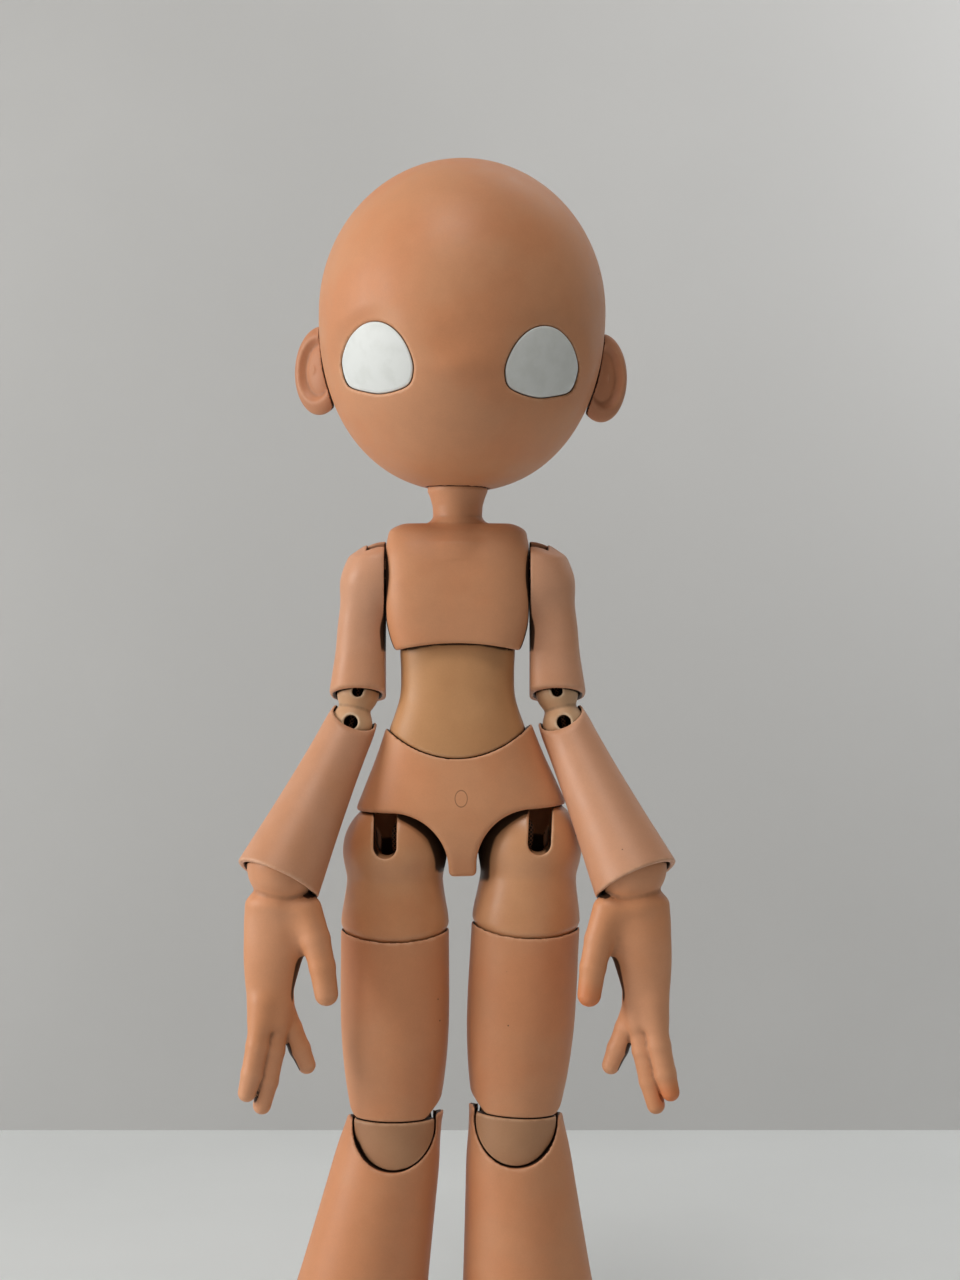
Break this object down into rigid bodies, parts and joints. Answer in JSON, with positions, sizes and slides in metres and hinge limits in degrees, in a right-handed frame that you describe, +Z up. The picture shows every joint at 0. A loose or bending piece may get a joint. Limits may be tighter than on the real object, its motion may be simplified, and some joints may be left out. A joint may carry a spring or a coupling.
{
  "type": "ball jointed doll",
  "caption": "Standing bald ball jointed doll of cast resin, strung on elastic, with a lift-off head cap, a jointed torso, flared forearms and shins, and hinged wrists and ankles.",
  "frame": {"origin": "on the ground between the feet, under the middle of the doll's bounding box", "axes": "+Z up from the soles to the crown, -Y the way the face looks, +X towards the doll's own left hand"},
  "size_m": [0.1281, 0.087, 0.3985],
  "materials": {
    "peach_resin": "matte cast resin",
    "brown_resin": "matte cast resin, a little browner",
    "tan_resin": "matte cast resin, yellower",
    "grey_tan_resin": "matte cast resin, greyer",
    "white_resin": "matte white resin",
    "steel_wire": "bent steel wire",
    "nickel": "nickel plated magnet",
    "black_elastic": "woven black elastic"
  },
  "bodies": {
    "pelvis": {"pelvis": "peach_resin", "leg_elastic_right": "black_elastic", "leg_elastic_left": "black_elastic"},
    "waist": {"waist": "tan_resin"},
    "chest": {"chest": "peach_resin", "arm_elastic": "black_elastic"},
    "neck_hook": {"neck_hook": "steel_wire"},
    "head": {"head_shell": "peach_resin", "eye_right": "white_resin", "eye_left": "white_resin", "ear_right": "brown_resin", "ear_left": "brown_resin", "magnet_shell_top": "nickel", "magnet_shell_bottom": "nickel"},
    "head_cap": {"head_cap": "peach_resin", "magnet_cap_top": "nickel", "magnet_cap_bottom": "nickel"},
    "upper_arm_right": {"upper_arm_right": "peach_resin"},
    "elbow_right": {"elbow_right": "grey_tan_resin"},
    "forearm_right": {"forearm_right": "peach_resin"},
    "wrist_hook_right": {"wrist_hook_right": "steel_wire"},
    "hand_right": {"hand_right": "peach_resin"},
    "upper_arm_left": {"upper_arm_left": "peach_resin"},
    "elbow_left": {"elbow_left": "grey_tan_resin"},
    "forearm_left": {"forearm_left": "peach_resin"},
    "wrist_hook_left": {"wrist_hook_left": "steel_wire"},
    "hand_left": {"hand_left": "peach_resin"},
    "upper_thigh_right": {"upper_thigh_right": "peach_resin"},
    "thigh_right": {"thigh_right": "peach_resin"},
    "knee_right": {"knee_right": "grey_tan_resin"},
    "shin_right": {"shin_right": "peach_resin"},
    "ankle_hook_right": {"ankle_hook_right": "steel_wire"},
    "foot_right": {"foot_right": "peach_resin"},
    "upper_thigh_left": {"upper_thigh_left": "peach_resin"},
    "thigh_left": {"thigh_left": "peach_resin"},
    "knee_left": {"knee_left": "grey_tan_resin"},
    "shin_left": {"shin_left": "peach_resin"},
    "ankle_hook_left": {"ankle_hook_left": "steel_wire"},
    "foot_left": {"foot_left": "peach_resin"}
  },
  "joints": [
    {"name": "waist_bend", "type": "hinge", "parent": "pelvis", "child": "waist", "pos_m": [-0.00071, 0, 0.24036], "axis": [1, 0, 0], "range_deg": [-12, 4], "deforming": ["leg_elastic_right", "leg_elastic_left"]},
    {"name": "chest_bend", "type": "hinge", "parent": "waist", "child": "chest", "pos_m": [-0.00071, 0, 0.25106], "axis": [1, 0, 0], "range_deg": [-15, 2], "deforming": ["leg_elastic_right", "leg_elastic_left"]},
    {"name": "neck_turn", "type": "hinge", "parent": "chest", "child": "neck_hook", "pos_m": [-0.00071, 0, 0.29957], "axis": [0, 0, 1], "range_deg": [-80, 80], "deforming": ["leg_elastic_right", "leg_elastic_left"]},
    {"name": "head_nod", "type": "hinge", "parent": "neck_hook", "child": "head", "pos_m": [-0.00071, 0, 0.29957], "axis": [1, 0, 0], "range_deg": [-15, 15], "deforming": ["leg_elastic_right", "leg_elastic_left"]},
    {"name": "cap_lift", "type": "slide", "parent": "head", "child": "head_cap", "axis": [0, 1, 0], "range_m": [0, 0.05]},
    {"name": "shoulder_swing_right", "type": "hinge", "parent": "chest", "child": "upper_arm_right", "pos_m": [-0.02081, 0, 0.27357], "axis": [-1, 0, 0], "range_deg": [0, 110], "deforming": ["arm_elastic"]},
    {"name": "elbow_upper_right", "type": "hinge", "parent": "upper_arm_right", "child": "elbow_right", "pos_m": [-0.03054, 0, 0.23906], "axis": [0.9781, 0, -0.2079], "range_deg": [-45, 5], "deforming": ["arm_elastic"]},
    {"name": "elbow_lower_right", "type": "hinge", "parent": "elbow_right", "child": "forearm_right", "pos_m": [-0.0325, -0.00132, 0.22986], "axis": [0.9781, 0, -0.2079], "range_deg": [-38, 4], "deforming": ["arm_elastic"]},
    {"name": "wrist_twist_right", "type": "hinge", "parent": "forearm_right", "child": "wrist_hook_right", "pos_m": [-0.05121, -0.01774, 0.18882], "axis": [0.3897, 0.342, 0.8551], "range_deg": [-30, 30], "deforming": ["arm_elastic"]},
    {"name": "wrist_bend_right", "type": "hinge", "parent": "wrist_hook_right", "child": "hand_right", "pos_m": [-0.05121, -0.01774, 0.18882], "axis": [-0.1418, 0.9397, -0.3112], "range_deg": [-2, 30]},
    {"name": "shoulder_swing_left", "type": "hinge", "parent": "chest", "child": "upper_arm_left", "pos_m": [0.01939, 0, 0.27357], "axis": [-1, 0, 0], "range_deg": [0, 110], "deforming": ["arm_elastic"]},
    {"name": "elbow_upper_left", "type": "hinge", "parent": "upper_arm_left", "child": "elbow_left", "pos_m": [0.02912, 0, 0.23906], "axis": [0.9781, 0, 0.2079], "range_deg": [-45, 5], "deforming": ["arm_elastic"]},
    {"name": "elbow_lower_left", "type": "hinge", "parent": "elbow_left", "child": "forearm_left", "pos_m": [0.03108, -0.00132, 0.22986], "axis": [0.9781, 0, 0.2079], "range_deg": [-38, 4], "deforming": ["arm_elastic"]},
    {"name": "wrist_twist_left", "type": "hinge", "parent": "forearm_left", "child": "wrist_hook_left", "pos_m": [0.04978, -0.01774, 0.18882], "axis": [-0.3897, 0.342, 0.8551], "range_deg": [-30, 30], "deforming": ["arm_elastic"]},
    {"name": "wrist_bend_left", "type": "hinge", "parent": "wrist_hook_left", "child": "hand_left", "pos_m": [0.04978, -0.01774, 0.18882], "axis": [-0.1418, -0.9397, 0.3112], "range_deg": [-2, 30]},
    {"name": "hip_swing_right", "type": "hinge", "parent": "pelvis", "child": "upper_thigh_right", "pos_m": [-0.01948, 0, 0.19198], "axis": [-1, 0, 0], "range_deg": [-20, 70], "deforming": ["leg_elastic_right"]},
    {"name": "thigh_turn_right", "type": "hinge", "parent": "upper_thigh_right", "child": "thigh_right", "pos_m": [-0.01948, 0, 0.17668], "axis": [0, 0, 1], "range_deg": [-30, 30], "deforming": ["leg_elastic_right"]},
    {"name": "knee_upper_right", "type": "hinge", "parent": "thigh_right", "child": "knee_right", "pos_m": [-0.01948, 0, 0.12298], "axis": [1, 0, 0], "range_deg": [0, 45], "deforming": ["leg_elastic_right"]},
    {"name": "knee_lower_right", "type": "hinge", "parent": "knee_right", "child": "shin_right", "pos_m": [-0.01948, 0, 0.11098], "axis": [1, 0, 0], "range_deg": [0, 45], "deforming": ["leg_elastic_right"]},
    {"name": "ankle_twist_right", "type": "hinge", "parent": "shin_right", "child": "ankle_hook_right", "pos_m": [-0.03522, 0, 0.03], "axis": [0.1908, 0, 0.9816], "range_deg": [-25, 25], "deforming": ["leg_elastic_right"]},
    {"name": "ankle_bend_right", "type": "hinge", "parent": "ankle_hook_right", "child": "foot_right", "pos_m": [-0.03522, 0, 0.03], "axis": [0.9816, 0, -0.1908], "range_deg": [-6, 12]},
    {"name": "hip_swing_left", "type": "hinge", "parent": "pelvis", "child": "upper_thigh_left", "pos_m": [0.0209, 0, 0.19319], "axis": [-1, 0, 0], "range_deg": [-20, 70], "deforming": ["leg_elastic_left"]},
    {"name": "thigh_turn_left", "type": "hinge", "parent": "upper_thigh_left", "child": "thigh_left", "pos_m": [0.0201, 0, 0.17791], "axis": [0.0523, 0, 0.9986], "range_deg": [-30, 30], "deforming": ["leg_elastic_left"]},
    {"name": "knee_upper_left", "type": "hinge", "parent": "thigh_left", "child": "knee_left", "pos_m": [0.01729, 0, 0.12428], "axis": [0.9986, 0, -0.0523], "range_deg": [0, 45], "deforming": ["leg_elastic_left"]},
    {"name": "knee_lower_left", "type": "hinge", "parent": "knee_left", "child": "shin_left", "pos_m": [0.01666, 0, 0.1123], "axis": [0.9986, 0, -0.0523], "range_deg": [0, 45], "deforming": ["leg_elastic_left"]},
    {"name": "ankle_twist_left", "type": "hinge", "parent": "shin_left", "child": "ankle_hook_left", "pos_m": [0.02242, 0, 0.03], "axis": [-0.0698, 0, 0.9976], "range_deg": [-25, 25], "deforming": ["leg_elastic_left"]},
    {"name": "ankle_bend_left", "type": "hinge", "parent": "ankle_hook_left", "child": "foot_left", "pos_m": [0.02242, 0, 0.03], "axis": [0.9976, 0, 0.0698], "range_deg": [-6, 12]}
  ]
}
